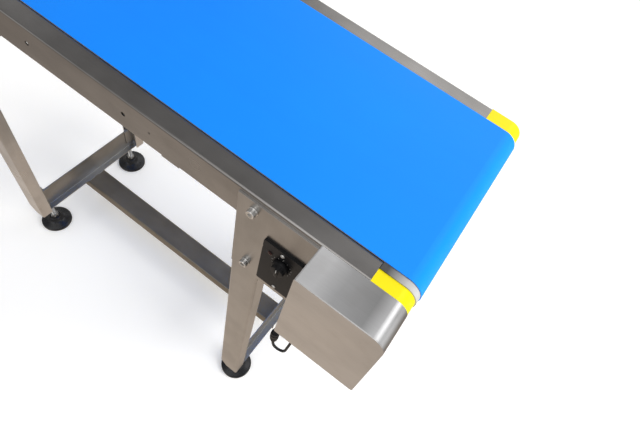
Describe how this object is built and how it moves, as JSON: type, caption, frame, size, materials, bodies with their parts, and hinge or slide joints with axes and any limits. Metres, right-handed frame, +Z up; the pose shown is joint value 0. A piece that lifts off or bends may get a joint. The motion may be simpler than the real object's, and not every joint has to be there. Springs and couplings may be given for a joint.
{
  "type": "belt conveyor section",
  "caption": "Flat belt conveyor section on a levelling stand: folded steel bed, endless belt, yellow nose caps, side drive cover, control box and screw take-up.",
  "frame": {"origin": "on the floor, below the middle of the bed between the head and tail drums", "axes": "+X towards the head (drive) end, -Y the side of the drive cover and the control box, +Z up"},
  "size_m": [1.2059, 0.4245, 0.89],
  "materials": {
    "belt_blue": "matt, fine fabric-backed PU",
    "stainless": "brushed",
    "bright_steel": "turned and polished",
    "yellow_paint": "satin",
    "drum_steel": "turned",
    "cast_aluminium": "cast",
    "motor_paint": "painted grey",
    "black_plastic": "fine grain",
    "pale_plastic": "smooth",
    "lamp_red": "clear moulded",
    "black_rubber": "smooth"
  },
  "bodies": {
    "frame": {"bed_ties": "stainless", "control_base": "black_plastic", "control_lid": "black_plastic", "conveyor_belt": "belt_blue", "cover_band": "stainless", "cover_face": "stainless", "cross_brackets": "stainless", "cross_members": "stainless", "drive_plate": "stainless", "foot_plates": "stainless", "gearbox": "cast_aluminium", "head_bearings": "bright_steel", "head_caps": "yellow_paint", "lead_connector": "black_plastic", "lead_glands": "black_plastic", "leg_bolts": "bright_steel", "leg_front_far": "stainless", "leg_front_near": "stainless", "leg_rear_far": "stainless", "leg_rear_near": "stainless", "lock_nuts": "bright_steel", "motor_body": "motor_paint", "motor_covers": "black_plastic", "motor_lead_lower": "black_rubber", "motor_lead_upper": "black_rubber", "nose_plates": "pale_plastic", "pilot_lamp": "lamp_red", "roller_supports": "stainless", "side_rail_far": "stainless", "side_rail_near": "stainless", "slider_bed": "stainless", "small_screws": "bright_steel", "stretcher": "stainless", "tail_caps": "yellow_paint", "terminal_cover": "black_plastic", "toothed_belt": "black_rubber", "upper_ties": "stainless"},
    "head_drum": {"head_drum": "drum_steel", "head_shaft": "bright_steel", "driven_pulley": "cast_aluminium"},
    "motor_output": {"output_shaft": "bright_steel", "drive_pulley": "cast_aluminium"},
    "take_up": {"take_up_blocks": "cast_aluminium", "tail_axle": "bright_steel"},
    "tail_drum": {"tail_drum": "drum_steel", "tail_bearings": "bright_steel"},
    "take_up_screw_near": {"take_up_screw_near": "bright_steel"},
    "take_up_screw_far": {"take_up_screw_far": "bright_steel"},
    "return_roller_1": {"return_roller_1": "drum_steel"},
    "return_roller_2": {"return_roller_2": "drum_steel"},
    "return_roller_3": {"return_roller_3": "drum_steel"},
    "speed_knob": {"speed_knob": "black_plastic"},
    "foot_front_near": {"foot_pad_front_near": "black_plastic", "foot_spindle_front_near": "bright_steel"},
    "foot_front_far": {"foot_pad_front_far": "black_plastic", "foot_spindle_front_far": "bright_steel"},
    "foot_rear_near": {"foot_pad_rear_near": "black_plastic", "foot_spindle_rear_near": "bright_steel"},
    "foot_rear_far": {"foot_pad_rear_far": "black_plastic", "foot_spindle_rear_far": "bright_steel"}
  },
  "joints": [
    {"name": "head_drum_spin", "type": "hinge", "parent": "frame", "child": "head_drum", "pos_m": [0.575, 0, 0.8647], "axis": [0, 1, 0], "continuous": true},
    {"name": "output_spin", "type": "hinge", "parent": "frame", "child": "motor_output", "pos_m": [0.535, 0, 0.765], "axis": [0, 1, 0], "continuous": true},
    {"name": "take_up_slide", "type": "slide", "parent": "frame", "child": "take_up", "axis": [1, 0, 0], "range_m": [0, 0.006]},
    {"name": "tail_drum_spin", "type": "hinge", "parent": "take_up", "child": "tail_drum", "pos_m": [-0.575, 0, 0.8647], "axis": [0, 1, 0], "continuous": true},
    {"name": "take_up_screw_near_turn", "type": "hinge", "parent": "frame", "child": "take_up_screw_near", "pos_m": [-0.59, -0.17025, 0.8647], "axis": [1, 0, 0], "range_deg": [-2165, 0]},
    {"name": "take_up_screw_far_turn", "type": "hinge", "parent": "frame", "child": "take_up_screw_far", "pos_m": [-0.59, 0.1655, 0.8647], "axis": [1, 0, 0], "range_deg": [-2165, 0]},
    {"name": "return_roller_1_spin", "type": "hinge", "parent": "frame", "child": "return_roller_1", "pos_m": [-0.43, 0, 0.8266], "axis": [0, 1, 0], "continuous": true},
    {"name": "return_roller_2_spin", "type": "hinge", "parent": "frame", "child": "return_roller_2", "pos_m": [-0.095, 0, 0.8266], "axis": [0, 1, 0], "continuous": true},
    {"name": "return_roller_3_spin", "type": "hinge", "parent": "frame", "child": "return_roller_3", "pos_m": [0.24, 0, 0.8266], "axis": [0, 1, 0], "continuous": true},
    {"name": "speed_knob_turn", "type": "hinge", "parent": "frame", "child": "speed_knob", "pos_m": [0.4375, -0.19, 0.789], "axis": [0, -1, 0], "range_deg": [-135, 135]},
    {"name": "foot_front_near_level", "type": "slide", "parent": "frame", "child": "foot_front_near", "axis": [0, 0, 1], "range_m": [-0.02, 0.02]},
    {"name": "foot_front_far_level", "type": "slide", "parent": "frame", "child": "foot_front_far", "axis": [0, 0, 1], "range_m": [-0.02, 0.02]},
    {"name": "foot_rear_near_level", "type": "slide", "parent": "frame", "child": "foot_rear_near", "axis": [0, 0, 1], "range_m": [-0.02, 0.02]},
    {"name": "foot_rear_far_level", "type": "slide", "parent": "frame", "child": "foot_rear_far", "axis": [0, 0, 1], "range_m": [-0.02, 0.02]}
  ],
  "couplings": [
    {"joint": "tail_drum_spin", "follows": "head_drum_spin", "ratio": 1},
    {"joint": "output_spin", "follows": "head_drum_spin", "ratio": 0.83333},
    {"joint": "return_roller_1_spin", "follows": "head_drum_spin", "ratio": -1.84},
    {"joint": "return_roller_2_spin", "follows": "head_drum_spin", "ratio": -1.84},
    {"joint": "return_roller_3_spin", "follows": "head_drum_spin", "ratio": -1.84},
    {"joint": "take_up_screw_near_turn", "follows": "take_up_slide", "rad_per_m": -6283.2},
    {"joint": "take_up_screw_far_turn", "follows": "take_up_slide", "rad_per_m": -6283.2}
  ]
}
